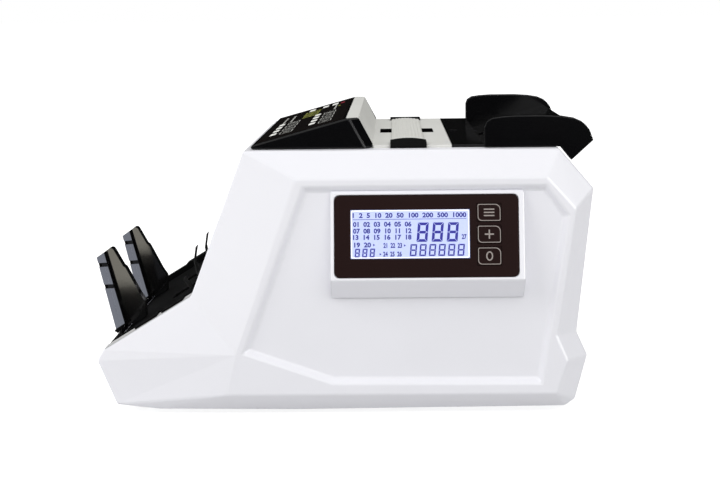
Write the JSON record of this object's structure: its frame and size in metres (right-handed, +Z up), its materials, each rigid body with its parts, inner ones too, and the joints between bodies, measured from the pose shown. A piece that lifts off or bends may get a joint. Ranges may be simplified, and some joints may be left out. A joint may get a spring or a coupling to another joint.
{
  "type": "banknote counter",
  "caption": "Table-top banknote counter with a top rear hopper, a front stacker with leaning fingers, a sloping key panel and a display on the side cover.",
  "frame": {"origin": "middle of the footprint, on the surface that the rubber feet stand on", "axes": "+Z up; -Y is the front, where the counted notes collect and the operator sits; +X is the side whose cover carries the display"},
  "size_m": [0.264, 0.3046, 0.1743],
  "materials": {
    "white_abs": "satin moulded",
    "grey_abs": "satin moulded",
    "black_abs": "high gloss moulded",
    "black_nylon": "moulded",
    "strap_vinyl": "ribbed vinyl",
    "overlay_film": "printed film, gloss",
    "key_plastic": "moulded",
    "display_module": "display face, gloss",
    "circuit_board": "solder mask",
    "sheet_steel": "zinc plated",
    "turned_steel": "ground",
    "rubber": "matt"
  },
  "bodies": {
    "machine_body": {"left_side_cover": "white_abs", "right_side_cover": "white_abs", "front_cover": "white_abs", "toe_cover": "white_abs", "rear_cover": "white_abs", "side_display_bezel": "white_abs", "base_pan": "sheet_steel", "rubber_foot_front_left": "rubber", "rubber_foot_front_right": "rubber", "rubber_foot_rear_left": "rubber", "rubber_foot_rear_right": "rubber", "top_cover": "grey_abs", "finger_well": "black_abs", "carry_strap": "strap_vinyl", "strap_cap_left": "black_abs", "strap_cap_right": "black_abs", "control_housing": "black_abs", "control_overlay": "overlay_film", "control_board": "circuit_board", "hopper_tray": "black_abs", "stacker_tray": "black_abs", "stacker_finger_left": "black_abs", "stacker_finger_right": "black_abs", "frame_left": "sheet_steel", "frame_right": "sheet_steel", "tie_rod": "turned_steel", "retard_roller": "rubber", "lower_note_guide": "sheet_steel", "upper_note_guide": "sheet_steel", "drive_motor": "sheet_steel", "main_drive_belt": "rubber", "pickup_drive_belt": "rubber", "stacker_drive_belt": "rubber", "main_board": "circuit_board", "power_inlet": "black_nylon", "side_overlay": "overlay_film", "side_lcd": "display_module"},
    "transport_body": {"transport_roller": "rubber"},
    "exit_body": {"exit_roller": "rubber"},
    "feed_body": {"feed_roller": "rubber"},
    "pickup_body": {"pickup_roller": "rubber"},
    "stacker_body": {"stacker_shaft": "turned_steel", "stacker_wheel_left": "rubber", "stacker_wheel_right": "rubber"},
    "transport_pinch_body": {"transport_pinch_roller": "turned_steel"},
    "exit_pinch_body": {"exit_pinch_roller": "turned_steel"},
    "motor_rotor_body": {"motor_pulley": "turned_steel"},
    "front_key_1_body": {"front_key_1": "key_plastic"},
    "front_key_2_body": {"front_key_2": "key_plastic"},
    "front_key_3_body": {"front_key_3": "key_plastic"},
    "front_key_4_body": {"front_key_4": "key_plastic"},
    "front_key_5_body": {"front_key_5": "key_plastic"},
    "front_key_6_body": {"front_key_6": "key_plastic"},
    "front_key_7_body": {"front_key_7": "key_plastic"},
    "front_key_8_body": {"front_key_8": "key_plastic"},
    "side_key_1_body": {"side_key_1": "overlay_film"},
    "side_key_2_body": {"side_key_2": "overlay_film"},
    "side_key_3_body": {"side_key_3": "overlay_film"},
    "rocker_body": {"power_rocker": "black_nylon"},
    "gap_screw_body": {"gap_screw": "black_nylon"}
  },
  "joints": [
    {"name": "transport_spin", "type": "hinge", "parent": "machine_body", "child": "transport_body", "pos_m": [0, 0.0239, 0.08302], "axis": [1, 0, 0], "continuous": true},
    {"name": "exit_spin", "type": "hinge", "parent": "machine_body", "child": "exit_body", "pos_m": [0, -0.02423, 0.08501], "axis": [1, 0, 0], "continuous": true},
    {"name": "feed_spin", "type": "hinge", "parent": "machine_body", "child": "feed_body", "pos_m": [0, 0.09001, 0.126], "axis": [1, 0, 0], "continuous": true},
    {"name": "pickup_spin", "type": "hinge", "parent": "machine_body", "child": "pickup_body", "pos_m": [0, 0.10891, 0.14134], "axis": [1, 0, 0], "continuous": true},
    {"name": "stacker_spin", "type": "hinge", "parent": "machine_body", "child": "stacker_body", "pos_m": [0, -0.06603, 0.06504], "axis": [1, 0, 0], "continuous": true},
    {"name": "transport_pinch_spin", "type": "hinge", "parent": "machine_body", "child": "transport_pinch_body", "pos_m": [0, 0.0239, 0.10432], "axis": [1, 0, 0], "continuous": true},
    {"name": "exit_pinch_spin", "type": "hinge", "parent": "machine_body", "child": "exit_pinch_body", "pos_m": [0, -0.02423, 0.10331], "axis": [1, 0, 0], "continuous": true},
    {"name": "motor_spin", "type": "hinge", "parent": "machine_body", "child": "motor_rotor_body", "pos_m": [-0.09, 0.01607, 0.04706], "axis": [1, 0, 0], "continuous": true},
    {"name": "front_key_1_press", "type": "slide", "parent": "machine_body", "child": "front_key_1_body", "axis": [0, 0.2638, -0.9646], "range_m": [0, 0.0004], "stiffness_N_per_m": 900},
    {"name": "front_key_2_press", "type": "slide", "parent": "machine_body", "child": "front_key_2_body", "axis": [0, 0.2638, -0.9646], "range_m": [0, 0.0004], "stiffness_N_per_m": 900},
    {"name": "front_key_3_press", "type": "slide", "parent": "machine_body", "child": "front_key_3_body", "axis": [0, 0.2638, -0.9646], "range_m": [0, 0.0004], "stiffness_N_per_m": 900},
    {"name": "front_key_4_press", "type": "slide", "parent": "machine_body", "child": "front_key_4_body", "axis": [0, 0.2638, -0.9646], "range_m": [0, 0.0004], "stiffness_N_per_m": 900},
    {"name": "front_key_5_press", "type": "slide", "parent": "machine_body", "child": "front_key_5_body", "axis": [0, 0.2638, -0.9646], "range_m": [0, 0.0004], "stiffness_N_per_m": 900},
    {"name": "front_key_6_press", "type": "slide", "parent": "machine_body", "child": "front_key_6_body", "axis": [0, 0.2638, -0.9646], "range_m": [0, 0.0004], "stiffness_N_per_m": 900},
    {"name": "front_key_7_press", "type": "slide", "parent": "machine_body", "child": "front_key_7_body", "axis": [0, 0.2638, -0.9646], "range_m": [0, 0.0004], "stiffness_N_per_m": 900},
    {"name": "front_key_8_press", "type": "slide", "parent": "machine_body", "child": "front_key_8_body", "axis": [0, 0.2638, -0.9646], "range_m": [0, 0.0004], "stiffness_N_per_m": 900},
    {"name": "side_key_1_press", "type": "slide", "parent": "machine_body", "child": "side_key_1_body", "axis": [-0.9699, 0, -0.2436], "range_m": [0, 0.0004], "stiffness_N_per_m": 900},
    {"name": "side_key_2_press", "type": "slide", "parent": "machine_body", "child": "side_key_2_body", "axis": [-0.9699, 0, -0.2436], "range_m": [0, 0.0004], "stiffness_N_per_m": 900},
    {"name": "side_key_3_press", "type": "slide", "parent": "machine_body", "child": "side_key_3_body", "axis": [-0.9699, 0, -0.2436], "range_m": [0, 0.0004], "stiffness_N_per_m": 900},
    {"name": "rocker_tilt", "type": "hinge", "parent": "machine_body", "child": "rocker_body", "pos_m": [-0.08603, 0.14702, 0.0963], "axis": [1, 0, 0], "range_deg": [0, 16]},
    {"name": "gap_screw_turn", "type": "hinge", "parent": "machine_body", "child": "gap_screw_body", "pos_m": [-0.00603, 0.0753, 0.155], "axis": [0, 0, 1], "range_deg": [-180, 180]}
  ],
  "couplings": [
    {"joint": "exit_spin", "follows": "transport_spin", "ratio": 1.2},
    {"joint": "feed_spin", "follows": "transport_spin", "ratio": 0.5},
    {"joint": "pickup_spin", "follows": "transport_spin", "ratio": 0.66667},
    {"joint": "stacker_spin", "follows": "transport_spin", "ratio": 0.5},
    {"joint": "motor_spin", "follows": "transport_spin", "ratio": 1.3333},
    {"joint": "transport_pinch_spin", "follows": "transport_spin", "ratio": -1.3333},
    {"joint": "exit_pinch_spin", "follows": "transport_spin", "ratio": -1.5}
  ]
}
